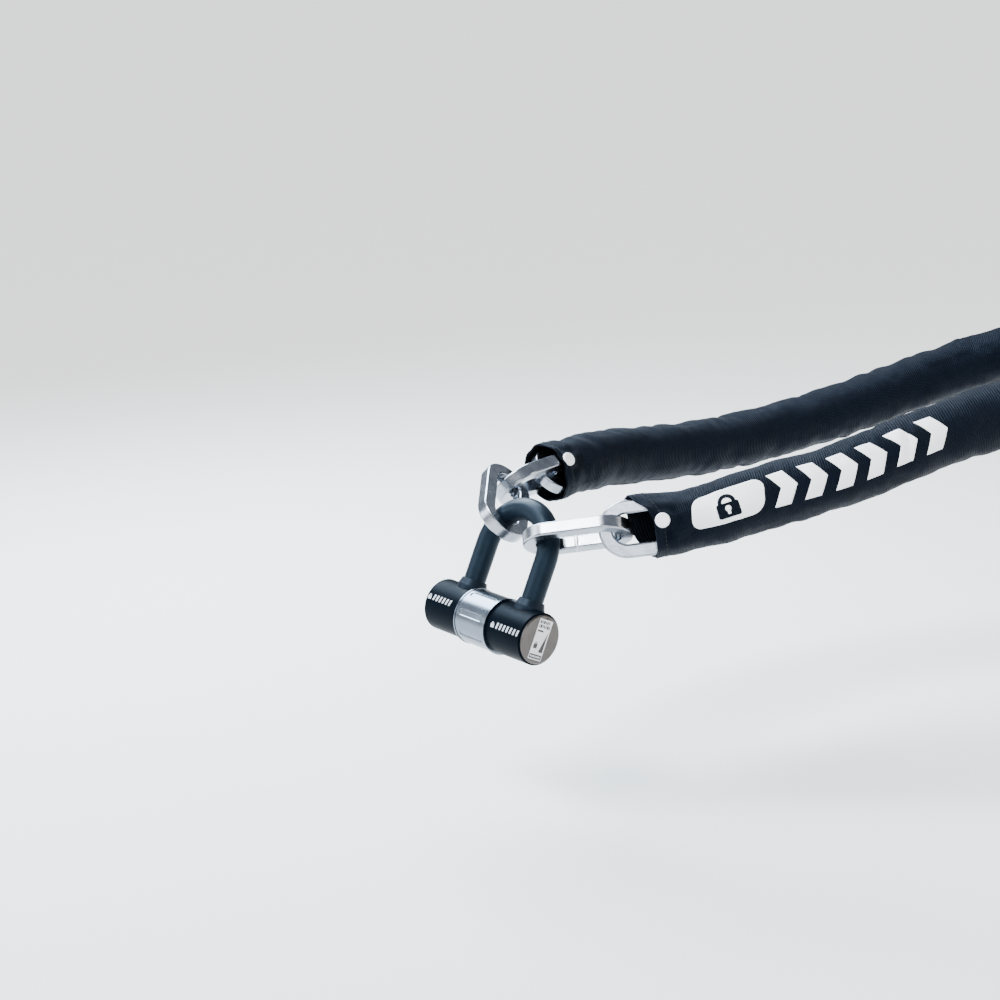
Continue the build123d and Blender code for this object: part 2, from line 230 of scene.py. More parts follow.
RIVET_IN = 0.010
RIVET_FACE = (0.705, -0.584, 0.401)  # the way the rivets face, as in the CAD build
RIVETS = [(at, facing(at, RIVET_FACE)) for at in (RIVET_IN, LENGTH - RIVET_IN)]
RIVET_SEAT = 0.0221  # the cloth's radius under a rivet's head
SEAM = -1.80  # the sewn seam runs along the underside
SEAM_HIGH, SEAM_WIDE = 0.0007, 0.0013
CLOTH_R, BAGGY = 0.0218, 0.0003  # the cloth's radius away from links, and how much slack takes off it
LINK_DIP = 0.0006  # how far the cloth sinks between two links
CREASE_REACH, CREASE_DEEP = 0.035, 0.00105
RIPPLE_FROM, RIPPLE_FADE = 0.004, 0.022
NECK_AT, NECK_WIDE, NECK_DEEP = 0.030, 0.010, 0.0010
HEM_WIDE, HEM_EDGE, HEM_HIGH = 0.0085, 0.0006, 0.00045


def smooth_max(p, q, soft):
    """The larger of two, rounded off where they meet."""
    return soft * np.logaddexp(p / soft, q / soft)


def creased(s, a):
    """How far the creases lift or sink taut cloth at length s and angle a."""
    lift = 0.0
    for at, centre, spread, slant, width, deep in CREASES:
        near = np.abs(s - at) < CREASE_REACH
        if not near.any():
            continue
        d = wrapped(a - centre)
        window = np.where(np.abs(d) < spread, np.cos(d / spread * math.pi / 2) ** 2, 0)
        x = (s - at - slant * d) / width
        ridges = 0.6 * np.exp(-((x - 1.9) ** 2) / 1.8) + 0.45 * np.exp(-((x + 2.0) ** 2) / 2.2)
        lift = lift + near * window * (ridges - np.exp(-x * x)) * CREASE_DEEP * deep
    return lift


def mouth_shape(end, a):
    """Ripples, a drawn-in neck and a thick hem, by the distance end from a mouth."""
    close = np.exp(-np.clip(end - RIPPLE_FROM, 0, None) / RIPPLE_FADE)
    ripple = close * (0.0006 * np.sin(5 * a + 0.8) + 0.0004 * np.sin(9 * a + 2.0))
    neck = NECK_DEEP * np.exp(-((end - NECK_AT) / NECK_WIDE) ** 2)
    hem = HEM_HIGH / (1 + np.exp((end - HEM_WIDE) / HEM_EDGE))
    return ripple - neck + hem


def riveted(r, s, a):
    """The radius r with the cloth pulled in and puckered round each rivet, and flat under its head."""
    for at, centre in RIVETS:
        across = wrapped(a - centre) * SLEEVE_R
        d = np.hypot(s - at, across)
        ray = np.arctan2(across, s - at)
        r = r - 0.0010 * np.exp(-(((d - 0.0090) / 0.0035) ** 2))
        r = r + 0.0005 * np.sin(6 * ray + 0.6) * np.exp(-(((d - 0.012) / 0.005) ** 2))
        hold = np.exp(-((d / 0.0063) ** 4))
        r = r * (1 - hold) + RIVET_SEAT * hold
    return r


def skin_radius(s, a):
    """The sleeve's outer radius at length s and angle a, with links, folds and creases showing."""
    loose = looseness(s)
    links = over_links(s, a)
    r = smooth_max(CLOTH_R - BAGGY * loose, links, 0.0007)
    r = r - LINK_DIP * loose * np.abs(np.cos(math.pi * s / PITCH)) ** 6
    r = r + creased(s, a) * loose
    r = r + SEAM_HIGH * np.exp(-((wrapped(a - SEAM) * SLEEVE_R / SEAM_WIDE) ** 2))
    r = r + mouth_shape(s, a) + mouth_shape(LENGTH - s, a)
    return smooth_max(riveted(r, s, a), links - 0.0006, 0.0003)


ROUGH_BROAD, ROUGH_FINE = 0.00075, 0.00042


def rough(s, a, r):
    """The radius r with the small random unevenness of cloth, point by point."""
    out = np.empty(s.shape)
    flat_s, flat_a, flat_o = s.ravel(), a.ravel(), out.reshape(-1)
    for i in range(flat_s.size):
        x, y = math.cos(flat_a[i]), math.sin(flat_a[i])
        v = noise.noise((x * 1.3, y * 1.3, flat_s[i] / 0.016))
        w = noise.noise((x * 2.6 + 7, y * 2.6, flat_s[i] / 0.0062))
        flat_o[i] = ROUGH_BROAD * v + ROUGH_FINE * w
    return r + out


def rim(knots, turned):
    """A mouth's edge: how far it is drawn back at each angle, smoothed, from a few angles in degrees."""
    angles = np.radians([k[0] for k in knots])
    ring = np.linspace(-math.pi, math.pi, 180, endpoint=False)
    pull = np.interp(ring, angles, [k[1] for k in knots], period=2 * math.pi)
    pull = blurred(pull[None], 0.01, 4.0)[0]
    return lambda a: np.interp(wrapped(a - turned), ring, pull, period=2 * math.pi)


front_pull = rim([
    (-170, -0.0085), (-120, 0.0), (-85, 0.0045), (-30, 0.0052), (12, 0.0050), (30, 0.0030),
    (70, -0.0085), (100, -0.0120), (150, -0.0110),
], facing(RIVET_IN))
rear_pull = rim([
    (-150, 0.007), (-90, 0.004), (-20, 0.0045), (20, 0.0045), (70, 0.007), (120, 0.009), (170, 0.009),
], facing(LENGTH - RIVET_IN))
PULL_DEEP = 0.050  # how far in from a mouth its uneven edge still shows


def skin(s, a, lift=0.0):
    """Points on the sleeve at lengths s and angles a, lifted off it by lift."""
    s, a = np.broadcast_arrays(np.asarray(s, float), np.asarray(a, float))
    r = rough(s, a, skin_radius(s, a)) + lift
    near = np.clip(1 - s / PULL_DEEP, 0, None) ** 2
    far = np.clip(1 - (LENGTH - s) / PULL_DEEP, 0, None) ** 2
    moved = s + near * front_pull(a) - far * rear_pull(a)
    c, t, n, up = on_line(moved)
    return c + (n * np.cos(a)[..., None] + up * np.sin(a)[..., None]) * r[..., None]


# ---------------------------------------------------------------- materials
class Nodes:
    """A short hand for one material's node tree."""

    def __init__(self, name):
        self.material = bpy.data.materials.new(name)
        self.material.use_nodes = True
        self.tree = self.material.node_tree
        self.bsdf = self.tree.nodes["Principled BSDF"]

    def feed(self, socket, value):
        """Link a socket to another one, or set it to a constant."""
        if isinstance(value, bpy.types.NodeSocket):
            self.tree.links.new(value, socket)
        else:
            socket.default_value = value

    def add(self, kind, inputs=(), **settings):
        node = self.tree.nodes.new("ShaderNode" + kind)
        for key, value in settings.items():
            setattr(node, key, value)
        for key, value in dict(inputs).items():
            self.feed(node.inputs[key], value)
        return node

    def maths(self, operation, *values):
        node = self.add("Math", operation=operation)
        for socket, value in zip(node.inputs, values):
            self.feed(socket, value)
        return node.outputs[0]

    def place(self, scale=(1, 1, 1), uv=False, turn=(0, 0, 0)):
        """Coordinates in metres times scale: of the object, or of the cloth it is cut from."""
        source = self.add("TexCoord").outputs["UV" if uv else "Object"]
        return self.add("Mapping", {"Vector": source, "Scale": scale, "Rotation": turn}).outputs[0]

    def noise(self, vector, scale, detail=4.0, roughness=0.55):
        return self.add("TexNoise", {
            "Vector": vector, "Scale": scale, "Detail": detail, "Roughness": roughness,
        }).outputs["Fac"]

    def ramp(self, fac, *stops):
        node = self.add("ValToRGB", {"Fac": fac})
        stack = node.color_ramp.elements
        while len(stack) < len(stops):
            stack.new(0.5)
        for element, (at, colour) in zip(stack, stops):
            element.position = at
            element.color = (*colour, 1)
        return node.outputs["Color"]

    def spread(self, fac, low, high, first=0.0, last=1.0):
        return self.add("MapRange", {
            "Value": fac, "From Min": first, "From Max": last, "To Min": low, "To Max": high,
        }).outputs[0]

    def bump(self, height, strength, distance, under=None):
        inputs = {"Height": height, "Strength": strength, "Distance": distance}
        if under is not None:
            inputs["Normal"] = under
        return self.add("Bump", inputs).outputs[0]

    def finish(self, **sockets):
        for key, value in sockets.items():
            self.feed(self.bsdf.inputs[key.replace("_", " ")], value)
        return self.material


RIB_PITCH, YARN_PITCH = 0.0016, 0.0011


def ribs(m, strength):
    """The cloth's fine crosswise ribs and its weave, as a bump. UV is in metres along and around."""
    uv = m.add("SeparateXYZ", {"Vector": m.place(uv=True)})
    wander = m.noise(m.place((60, 60, 60), uv=True), 1.0, 2.0)
    along = m.maths("MULTIPLY_ADD", uv.outputs[0], 2 * math.pi / RIB_PITCH, m.maths("MULTIPLY", wander, 5.0))
    around = m.maths("MULTIPLY", uv.outputs[1], 2 * math.pi / YARN_PITCH)
    rib = m.maths("SINE", along)
    yarn = m.maths("MULTIPLY", m.maths("SINE", around), m.maths("COSINE", along))
    both = m.maths("MULTIPLY_ADD", yarn, 0.45, rib)
    return both, m.bump(both, strength, 0.00035)


def cloth_material(name, dark, light, inner=False):
    m = Nodes(name)
    rib, weave = ribs(m, 0.75)
    patch = m.noise(m.place((1, 1, 1), uv=True), 34.0, 5.0, 0.6)
    fuzz = m.noise(m.place((1, 1, 1), uv=True), 1500.0, 2.0)
    mixed = m.maths("ADD", m.maths("MULTIPLY", patch, 0.62), m.maths("MULTIPLY", fuzz, 0.22))
    # the rib height also goes into the colour, lighter along each rib's crest and darker in the hollows
    # between ribs: a painted highlight on the crests and painted shade in the hollows
    mixed = m.maths("MULTIPLY_ADD", rib, 0.07, mixed)
    colour = m.ramp(mixed, (0.25, dark), (0.72, light))
    soft = m.bump(m.noise(m.place((1, 1, 1), uv=True), 190.0, 3.0), 0.35, 0.0006, weave)
    return m.finish(
        Base_Color=colour, Roughness=m.spread(patch, 0.44, 0.66), Normal=soft,
        Sheen_Weight=0.0 if inner else 0.004, Sheen_Roughness=0.4, Sheen_Tint=(0.45, 0.60, 0.90, 1),
        Specular_IOR_Level=0.05 if inner else 0.11, Specular_Tint=(0.50, 0.68, 1.0, 1),
    )


def print_material():
    """Reflective ink on the ribbed cloth, a little worn off the tops of the ribs."""
    m = Nodes("reflective_print")
    weave = ribs(m, 0.22)[1]
    grain = m.noise(m.place((1, 1, 1), uv=True), 900.0, 3.0)
    worn = m.noise(m.place((1, 1, 1), uv=True), 120.0, 5.0, 0.7)
    mix = m.maths("MULTIPLY_ADD", grain, 0.35, m.maths("MULTIPLY", worn, 0.65))
    colour = m.ramp(mix, (0.22, (0.60, 0.63, 0.67)), (0.38, (0.90, 0.92, 0.94)), (0.75, (0.97, 0.98, 0.99)))
    return m.finish(
        Base_Color=colour, Roughness=m.spread(grain, 0.38, 0.55), Normal=weave, Specular_IOR_Level=0.4,
    )


def metal_material(name, dark, light, rough, wave=0.25, scale=260.0):
    """Plated or cast metal: uneven sheen, small dimples and faint handling marks."""
    m = Nodes(name)
    at = m.place()
    broad = m.noise(at, scale * 0.35, 4.0)
    small = m.noise(at, scale * 5.0, 4.0, 0.65)
    marks = m.noise(m.place((900, 900, 60), turn=(0.5, 0.3, 0.2)), 1.0, 3.0)
    tone = m.maths("MULTIPLY_ADD", small, 0.35, m.maths("MULTIPLY", broad, 0.65))
    colour = m.ramp(tone, (0.3, dark), (0.65, light))
    lumps = m.bump(broad, wave, 0.0008)
    dents = m.bump(m.maths("ADD", small, m.maths("MULTIPLY", marks, 0.5)), 0.12, 0.00012, lumps)
    return m.finish(
        Base_Color=colour, Metallic=1.0, Roughness=m.spread(tone, *rough, 0.3, 0.7), Normal=dents,
    )


def turned_material(name, dark, light, rough, axis, pitch=0.00035):
    """Metal with fine lathe lines that change along one axis of the object: 0 for X, 1 for Y."""
    m = Nodes(name)
    split = m.add("SeparateXYZ", {"Vector": m.place()})
    x = split.outputs[axis]
    stretched = m.add("CombineXYZ", {"X": m.maths("MULTIPLY", x, 1 / pitch)}).outputs[0]
    lines = m.noise(stretched, 1.0, 5.0, 0.7)
    broad = m.noise(m.place(), 95.0, 3.0)
    tone = m.maths("MULTIPLY_ADD", lines, 0.75, m.maths("MULTIPLY", broad, 0.25))
    colour = m.ramp(tone, (0.3, dark), (0.7, light))
    return m.finish(
        Base_Color=colour, Metallic=1.0, Roughness=m.spread(tone, *rough, 0.3, 0.7),
        Normal=m.bump(lines, 0.18, 0.00008, m.bump(broad, 0.12, 0.0006)),
    )


def coat_material(name, dark, light, rough, peel, peel_scale, gloss=0.5, tint=(1, 1, 1)):
    """Paint, plastic or rubber: faint mottling, orange peel, dust and rub marks."""
    m = Nodes(name)
    at = m.place()
    broad = m.noise(at, 60.0, 5.0, 0.6)
    grain = m.noise(at, peel_scale, 3.0)
    dust = m.noise(at, 2600.0, 2.0)
    tone = m.maths("MULTIPLY_ADD", dust, 0.3, m.maths("MULTIPLY", broad, 0.7))
    colour = m.ramp(tone, (0.35, dark), (0.68, light))
    return m.finish(
        Base_Color=colour, Roughness=m.spread(broad, *rough, 0.3, 0.7),
        Normal=m.bump(grain, peel, 0.00018), Specular_IOR_Level=gloss, Specular_Tint=(*tint, 1),
    )


cloth = cloth_material("sleeve_cloth", (0.0004, 0.0009, 0.0024), (0.0014, 0.0029, 0.0072))
cloth_in = cloth_material("sleeve_lining", (0.0015, 0.0018, 0.0025), (0.0040, 0.0045, 0.0060), True)
thread = coat_material(
    "sewing_thread", (0.0040, 0.0050, 0.0080), (0.0150, 0.0170, 0.0220), (0.55, 0.70), 0.4, 4000.0, 0.3,
)
ink = print_material()
zinc = metal_material("zinc_plate", (0.23, 0.255, 0.295), (0.40, 0.43, 0.475), (0.16, 0.30), 0.2)
weld = metal_material("weld_metal", (0.34, 0.36, 0.40), (0.62, 0.65, 0.69), (0.30, 0.48), 0.5, 700.0)
steel = metal_material("hardened_steel", (0.40, 0.41, 0.43), (0.56, 0.57, 0.59), (0.26, 0.40))
vinyl = coat_material(
    "shackle_vinyl", (0.0024, 0.0050, 0.0090), (0.0062, 0.0115, 0.0195), (0.34, 0.46), 0.22, 500.0,
    gloss=0.15, tint=(0.55, 0.80, 1.0),
)
paint = coat_material(
    "body_paint", (0.0006, 0.0014, 0.0028), (0.0016, 0.0034, 0.0062), (0.36, 0.46), 0.12, 1300.0,
    gloss=0.025, tint=(0.35, 0.65, 1.0),
)
disc = turned_material("brushed_disc", (0.055, 0.051, 0.049), (0.15, 0.138, 0.130), (0.32, 0.48), 1, 0.0005)
collar = coat_material(
    "collar_plastic", (0.0035, 0.0058, 0.0100), (0.0085, 0.0125, 0.0195), (0.38, 0.50), 0.2, 1500.0,
    gloss=0.12, tint=(0.5, 0.75, 1.0),
)
rubber = coat_material(
    "seal_rubber", (0.004, 0.004, 0.005), (0.010, 0.010, 0.012), (0.55, 0.70), 0.35, 1800.0, 0.4,
)
silver = turned_material("silver_cover", (0.115, 0.135, 0.165), (0.185, 0.215, 0.255), (0.20, 0.28), 0)
brass = metal_material("brass", (0.62, 0.44, 0.17), (0.78, 0.60, 0.28), (0.22, 0.36), 0.1, 400.0)
white = coat_material("rivet_white", (0.88, 0.90, 0.92), (0.97, 0.98, 0.99), (0.30, 0.42), 0.12, 900.0)
paper = coat_material("label_paper", (0.62, 0.63, 0.66), (0.80, 0.81, 0.83), (0.28, 0.40), 0.10, 2200.0)
label_ink = coat_material(
    "label_ink", (0.006, 0.006, 0.008), (0.020, 0.020, 0.024), (0.30, 0.42), 0.10, 2200.0,
)
pad_ink = coat_material("pad_ink", (0.34, 0.37, 0.42), (0.62, 0.65, 0.70), (0.35, 0.50), 0.15, 3000.0, 0.4)

FINISHES = {
    "crossbar_shell": paint, "crossbar_core": steel, "end_plug": steel, "end_disc": disc,
    "collar": collar, "seal": rubber, "dust_cover": silver, "cylinder_housing": brass,
    "key_barrel": brass, "disc_stack": brass, "sidebar": steel, "drill_guard": steel,
    "cam": steel, "bolt": steel, "shackle_core": steel, "shackle_coating": vinyl,
    "link": zinc, "sleeve_rivet": white,
}


def finish_cad():
    """Give every CAD node the finish with the longest matching name."""
    for name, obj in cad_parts.items():
        found = [key for key in FINISHES if name.startswith(key)]
        if not found:
            continue
        material = FINISHES[max(found, key=len)]
        for place in obj.material_slots:
            place.material = material
        if not obj.material_slots:
            obj.data.materials.append(material)


finish_cad()

# ---------------------------------------------------------------- mesh helpers


def new_piece(name, points, faces, material, uvs=None, smooth=True):
    mesh = bpy.data.meshes.new(name)
    mesh.from_pydata([tuple(p) for p in points], [], faces)
    if uvs is not None:
        layer = mesh.uv_layers.new(name="cloth")
        corner = np.empty(len(mesh.loops), np.int32)
        mesh.loops.foreach_get("vertex_index", corner)
        layer.data.foreach_set("uv", np.asarray(uvs, np.float32)[corner].ravel())
    mesh.materials.append(material)
    mesh.polygons.foreach_set("use_smooth", [smooth] * len(mesh.polygons))
    mesh.update()
    obj = bpy.data.objects.new(name, mesh)
    bpy.context.scene.collection.objects.link(obj)
    return obj


def face_outward(obj):
    """Turn a closed mesh's faces to look outward."""
    bm = bmesh.new()
    bm.from_mesh(obj.data)
    bmesh.ops.recalc_face_normals(bm, faces=bm.faces)
    bm.to_mesh(obj.data)
    bm.free()


# ---------------------------------------------------------------- the sleeve
ROUND = 100
START = 2.2 - math.pi  # the angle of a ring's first point, low on the sleeve, where the cloth is joined
STEP = 0.0016
DEEP_STEP = 3.5 * STEP  # between rings of the lining out of sight
WALL = 0.0013
DEEP_WALL = 0.0006  # how much thicker the wall is there
LINING = 0.055  # how deep the lining is drawn finely, at each mouth
MOUTH_ROWS = 26
ROLL = 0.45 * WALL  # how far the turned edge stands out


def build_sleeve():
    """The cloth tube as one closed wall: outside, turned over at each mouth, and back along the inside."""
    turned = START + np.arange(ROUND + 1) * 2 * math.pi / ROUND
    angle, widths = wrapped(turned[:-1]), turned * SLEEVE_R
    out_s = np.linspace(0, LENGTH, int(LENGTH / STEP) + 1)
    mouth = np.concatenate([[0, 0.0004], np.linspace(0.0012, LINING, MOUTH_ROWS)])
    deep = np.linspace(LINING, LENGTH - LINING, int((LENGTH - 2 * LINING) / DEEP_STEP) + 1)[1:-1]
    in_s = np.concatenate([mouth, deep, LENGTH - mouth[::-1]])[::-1]
    hidden = np.clip((np.minimum(in_s, LENGTH - in_s) - LINING + 0.01) / 0.01, 0, 1)
    wall = WALL + DEEP_WALL * hidden
    outer = skin(out_s[:, None], angle[None])
    inner = skin(in_s[:, None], angle[None], -wall[:, None])
    far_turn = (outer[-1] + inner[0]) / 2 + on_line(LENGTH)[1] * ROLL
    near_turn = (outer[0] + inner[-1]) / 2 - on_line(0.0)[1] * ROLL
    rows = np.concatenate([outer, far_turn[None], inner, near_turn[None]])
    lengths = np.concatenate([out_s, [LENGTH], in_s, [0]])
    count, faces, corners = len(rows), [], []
    for i in range(count):
        for j in range(ROUND):
            ring = ((i + 1, j), (i + 1, j + 1), (i, j + 1), (i, j))
            faces.append([(r % count) * ROUND + k % ROUND for r, k in ring])
            corners += [(lengths[r % count], widths[k]) for r, k in ring]
    obj = new_piece("sleeve_cloth_tube", rows.reshape(-1, 3), faces, cloth)
    layer = obj.data.uv_layers.new(name="cloth")
    layer.data.foreach_set("uv", np.asarray(corners, np.float32).ravel())
    obj.data.materials.append(cloth_in)
    lined = np.repeat((np.arange(count) > len(out_s)) & (np.arange(count) < count - 2), ROUND)
    obj.data.polygons.foreach_set("material_index", lined.astype(np.int32))
    face_outward(obj)
    return obj


sleeve = build_sleeve()
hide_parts("sleeve")
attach(sleeve, "chain")
tuple(PATH[0])
[tuple(p) for p in PATH]


# ---------------------------------------------------------------- printed marks
def cut_shape(polygons, step):
    """Flat points and faces of convex polygons, cut along a grid of the given step."""
    bm = bmesh.new()
    for polygon in polygons:
        bm.faces.new([bm.verts.new((x, y, 0)) for x, y in polygon])
    for k in range(2):
        values = [p[k] for polygon in polygons for p in polygon]
        at = math.floor(min(values) / step) * step + step
        while at < max(values):
            co, no = [0, 0, 0], [0, 0, 0]
            co[k], no[k] = at, 1
            bmesh.ops.bisect_plane(bm, geom=bm.verts[:] + bm.edges[:] + bm.faces[:], plane_co=co, plane_no=no)
            at += step
    bmesh.ops.remove_doubles(bm, verts=bm.verts, dist=step * 0.004)
    bmesh.ops.recalc_face_normals(bm, faces=bm.faces)
    bm.verts.index_update()
    points = np.array([tuple(v.co) for v in bm.verts])
    faces = [[v.index for v in f.verts] for f in bm.faces]
    bm.free()
    return points, faces


def thickened(faces, count):
    """The faces of a thin closed plate: points up to count are its underside, the rest its top."""
    edges = {(a, b) for face in faces for a, b in zip(face, face[1:] + face[:1])}
    sides = [[a, b, b + count, a + count] for a, b in edges if (b, a) not in edges]
    return [[v + count for v in f] for f in faces] + sorted(sides) + [f[::-1] for f in faces]


def rounded(x0, y0, x1, y1, r, skew=0.0, steps=7):
    """A rounded rectangle as a convex polygon, sheared by skew."""
    out = []
    corners = ((x1 - r, y1 - r, 0), (x0 + r, y1 - r, 90), (x0 + r, y0 + r, 180), (x1 - r, y0 + r, 270))
    for cx, cy, start in corners:
        for i in range(steps + 1):
            t = math.radians(start + 90 * i / steps)
            x, y = cx + r * math.cos(t), cy + r * math.sin(t)
            out.append((x + skew * y, y))
    return out


def half_ring(cx, cy, r_in, r_out, steps=14):
    """The upper half of a ring as convex quads."""
    turns = [math.radians(180 * i / steps) for i in range(steps + 1)]
    inner, outer = ([(cx + r * math.cos(t), cy + r * math.sin(t)) for t in turns] for r in (r_in, r_out))
    return [[inner[i], outer[i], outer[i + 1], inner[i + 1]] for i in range(steps)]


MARK_TILT = 0.16  # the print sits a little above the middle of the strand
MARK_THICK = 0.0004
MARK_STEP = 0.0014  # a print is cut along a grid this fine, to bend with the cloth


def sleeve_mark(name, polygons, lift, material):
    """polygons are in millimetres: along the sleeve, and up round it from the print's middle line."""
    flat, faces = cut_shape([[(x / 1000, y / 1000) for x, y in p] for p in polygons], MARK_STEP)
    s, a = flat[:, 0], flat[:, 1] / SLEEVE_R + MARK_TILT
    points = np.concatenate([skin(s, a, lift - MARK_THICK), skin(s, a, lift)])
    cloth_at = np.stack([s, a * SLEEVE_R], -1)
    obj = new_piece(name, points, thickened(faces, len(s)), material, np.concatenate([cloth_at, cloth_at]))
    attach(obj, "chain")


BADGE = (30.0, 82.0)
BADGE_UP = 12.0
CHEVRONS, CHEVRONS_FROM, CHEVRON_PITCH = 6, 86.0, 20.7  # how many, and where they lie along the sleeve
POINT, CHEVRON_UP, STROKE = 7.5, 12.4, 11.2
PRINT_LIFT = 0.00012  # each mark printed over another one is lifted a little more
OVERPRINT = 0.00008

badge = [rounded(BADGE[0], -BADGE_UP, BADGE[1], BADGE_UP, 8.5, 0.22)]
middle = sum(BADGE) / 2
padlock = [rounded(middle - 8, -8.5, middle + 8, 1.5, 1.6)] + half_ring(middle, 1.4, 3.6, 6.4)
keyhole = [
    rounded(middle - 1.1, -6.2, middle + 1.1, -2.6, 0.6),
    rounded(middle - 2.1, -4.4, middle + 2.1, -0.4, 2.0),
]
chevrons = []
for k in range(CHEVRONS):
    x = CHEVRONS_FROM + CHEVRON_PITCH * k
    tip = x + POINT
    chevrons.append([(x, CHEVRON_UP), (x + STROKE, CHEVRON_UP), (tip + STROKE, 0), (tip, 0)])
    chevrons.append([(x, -CHEVRON_UP), (tip, 0), (tip + STROKE, 0), (x + STROKE, -CHEVRON_UP)])
sleeve_mark("print_badge", badge, PRINT_LIFT, ink)
sleeve_mark("print_badge_padlock", padlock, PRINT_LIFT + OVERPRINT, cloth)
sleeve_mark("print_badge_keyhole", keyhole, PRINT_LIFT + 2 * OVERPRINT, ink)
sleeve_mark("print_chevrons", chevrons, PRINT_LIFT, ink)

# ---------------------------------------------------------------- stitching
THREAD_SIDES = 6
THREAD_END = 0.35  # a thread's thickness at its two ends, as a share


def threads(name, runs, radius):
    """Short raised stitches, each along its own run of points."""
    points, faces = [], []
    for run in runs:
        along = np.gradient(run, axis=0)
        along /= np.linalg.norm(along, axis=1)[:, None]
        side = np.cross(along, run - run.mean(0) + 1e-5)
        side /= np.linalg.norm(side, axis=1)[:, None] + 1e-12
        lift = np.cross(along, side)
        first, last = len(points), len(run) - 1
        for i in range(len(run)):
            slim = radius * (THREAD_END if i in (0, last) else 1.0)
            for k in range(THREAD_SIDES):
                t = 2 * math.pi * k / THREAD_SIDES
                points.append(run[i] + (side[i] * math.cos(t) + lift[i] * math.sin(t)) * slim)
        for i in range(last):
            for k in range(THREAD_SIDES):
                a = first + i * THREAD_SIDES + k
                b = first + i * THREAD_SIDES + (k + 1) % THREAD_SIDES
                faces.append((a, b, b + THREAD_SIDES, a + THREAD_SIDES))
        faces.append([first + k for k in range(THREAD_SIDES)][::-1])
        faces.append([first + last * THREAD_SIDES + k for k in range(THREAD_SIDES)])
    obj = new_piece(name, points, faces, thread)
    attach(obj, "chain")


def outward(s, a):
    """The way out from the sleeve's line at each length s and angle a."""
    _, _, n, up = on_line(s)
    return n * np.cos(a)[:, None] + up * np.sin(a)[:, None]


def stitch(s0, a0, s1, a1):
    """A stitch over the cloth, sunk at its two ends."""
    t = np.linspace(0, 1, 6)
    s, a = s0 + (s1 - s0) * t, a0 + (a1 - a0) * t
    lift = 0.00022 * np.sin(math.pi * t) - 0.00008
    return skin(s, a) + outward(s, a) * lift[:, None]


HEM_SEWN, HEM_STITCHES, HEM_STITCH = 0.0072, 42, 0.105
SEAM_FROM, SEAM_PITCH, SEAM_STITCH = 0.012, 0.0036, 0.0026
SEAM_SEWN = SEAM - 0.13
for end, at in (("front", HEM_SEWN), ("rear", LENGTH - HEM_SEWN)):
    starts = [wrapped(2 * math.pi * k / HEM_STITCHES) for k in range(HEM_STITCHES)]
    threads(f"hem_stitches_{end}", [stitch(at, a, at, a + HEM_STITCH) for a in starts], 0.00028)
seam_starts = [SEAM_FROM + SEAM_PITCH * k for k in range(int((LENGTH - 2 * SEAM_FROM) / SEAM_PITCH))]
seam_runs = [stitch(s, SEAM_SEWN, s + SEAM_STITCH, SEAM_SEWN) for s in seam_starts]
threads("seam_stitches", seam_runs, 0.00026)

# ---------------------------------------------------------------- marks on the lock
LEAN = math.radians(24.6)
LOCK = Vector((-0.188, -0.478, -0.177))  # the middle of the crossbar
LEG = Vector((0, math.sin(LEAN), math.cos(LEAN)))


def plate(name, polygons, place, thickness, material, step, smooth=False):
    """Thin plates from flat shapes in millimetres; place turns (x, y, height) into a point."""
    flat, faces = cut_shape(polygons, step)
    points = [place(x, y, 0) for x, y, _ in flat] + [place(x, y, thickness) for x, y, _ in flat]
    obj = new_piece(name, points, thickened(faces, len(flat)), material, smooth=smooth)
    face_outward(obj)
    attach(obj, "crossbar")


DISC_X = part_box("end_disc_right")[1].x
DISC_RIGHT = LEG.cross(Vector((1, 0, 0)))


def on_disc(x, y, lift):
    """A point of the right end disc, in millimetres: along it, up it and out from it."""
    return Vector((DISC_X + lift / 1000, LOCK.y, LOCK.z)) + DISC_RIGHT * (x / 1000) + LEG * (y / 1000)


def bars(x0, y0, y1, widths, gap):
    """Upright bars in a row from x0, between y0 and y1."""
    out, x = [], x0
    for w in widths:
        out.append([(x, y0), (x + w, y0), (x + w, y1), (x, y1)])
        x += w + gap
    return out


PAPER_THICK, INK_THICK = 0.10, 0.02
sticker = [rounded(-6.1, -14.0, 6.1, 14.0, 0.7)]
printed = [
    *bars(-5.2, 11.0, 13.0, (1.3, 0.8, 1.7, 0.8, 1.2, 0.8), 0.45),
    *bars(-5.2, 8.0, 10.2, (0.7, 1.6, 0.7, 1.1, 0.7, 1.6, 0.7), 0.5),
    [(1.2, -8.4), (5.1, -8.4), (5.1, 6.4)],
    [(-5.1, 6.4), (-5.1, 5.2), (0.4, 5.2), (0.0, 6.4)],
    rounded(-4.6, -6.4, -1.2, -3.2, 0.4),
    *half_ring(-2.9, -3.3, 0.8, 1.35, 10),
    [(-5.6, -13.3), (5.6, -13.3), (5.6, -10.2), (-5.6, -10.2)],
]
ticks = bars(-4.7, -12.3, -11.2, (1.0, 0.6, 1.4, 0.6, 1.0, 1.4, 0.6), 0.45)
layers = (
    ("end_label", sticker, 0, PAPER_THICK, paper),
    ("end_label_print", printed, PAPER_THICK, INK_THICK, label_ink),
    ("end_label_ticks", ticks, PAPER_THICK + INK_THICK, INK_THICK, paper),
)
for name, shapes, base, thick, material in layers:
    plate(name, shapes, lambda x, y, h: on_disc(x, y, h + base), thick, material, 4.0)

BAR_FRONT = Vector((0, FACE.y, FACE.z)).normalized()
BAR_UP = Vector((0, BAR_FRONT.z, -BAR_FRONT.y))
SHELL_R = 18.25


def on_bar(x, y, lift):
    """A point of the crossbar's round side, in millimetres: along it, up round it and out from it."""
    t = y / SHELL_R
    way = BAR_FRONT * math.cos(t) + BAR_UP * math.sin(t)
    return LOCK + Vector((x / 1000, 0, 0)) + way * ((SHELL_R + lift + 0.01) / 1000)


